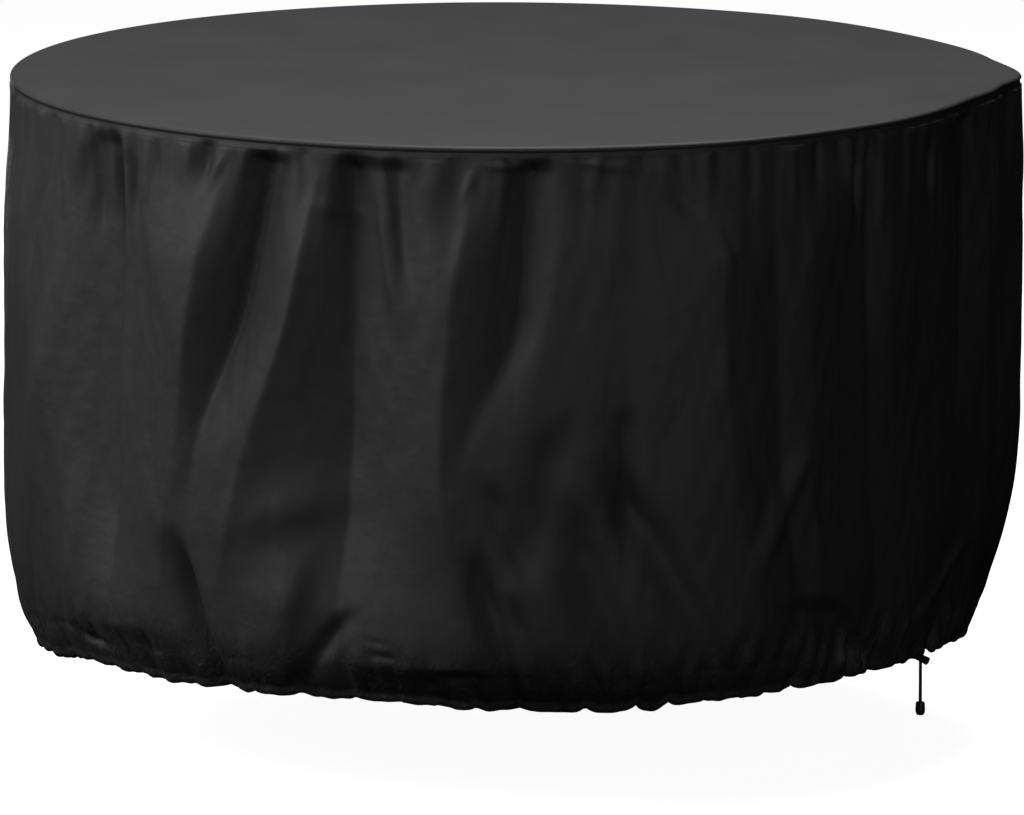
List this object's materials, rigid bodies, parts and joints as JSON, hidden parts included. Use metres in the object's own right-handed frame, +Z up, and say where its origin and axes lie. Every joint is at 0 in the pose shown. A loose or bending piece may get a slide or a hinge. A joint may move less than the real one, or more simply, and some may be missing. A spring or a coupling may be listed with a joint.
{
  "type": "patio furniture cover",
  "caption": "Round cloth cover for patio furniture: flat top, long skirt hanging in slanted folds, hem drawn in by a cord with a lock and a bell-shaped end.",
  "frame": {"origin": "middle of the top panel's underside, where the furniture carries the cover", "axes": "+Z up out of the flat top, -Y the front that the picture shows, +X to the right in that view"},
  "size_m": [1.2879, 1.3138, 0.7802],
  "materials": {
    "cloth": "coated woven polyester, low sheen",
    "cord": "braided cord",
    "fitting": "moulded, satin"
  },
  "bodies": {
    "root": {"top_panel": "cloth", "skirt_panel": "cloth", "drawstring_tail": "cord", "cord_lock": "fitting", "cord_end": "fitting"}
  },
  "joints": []
}
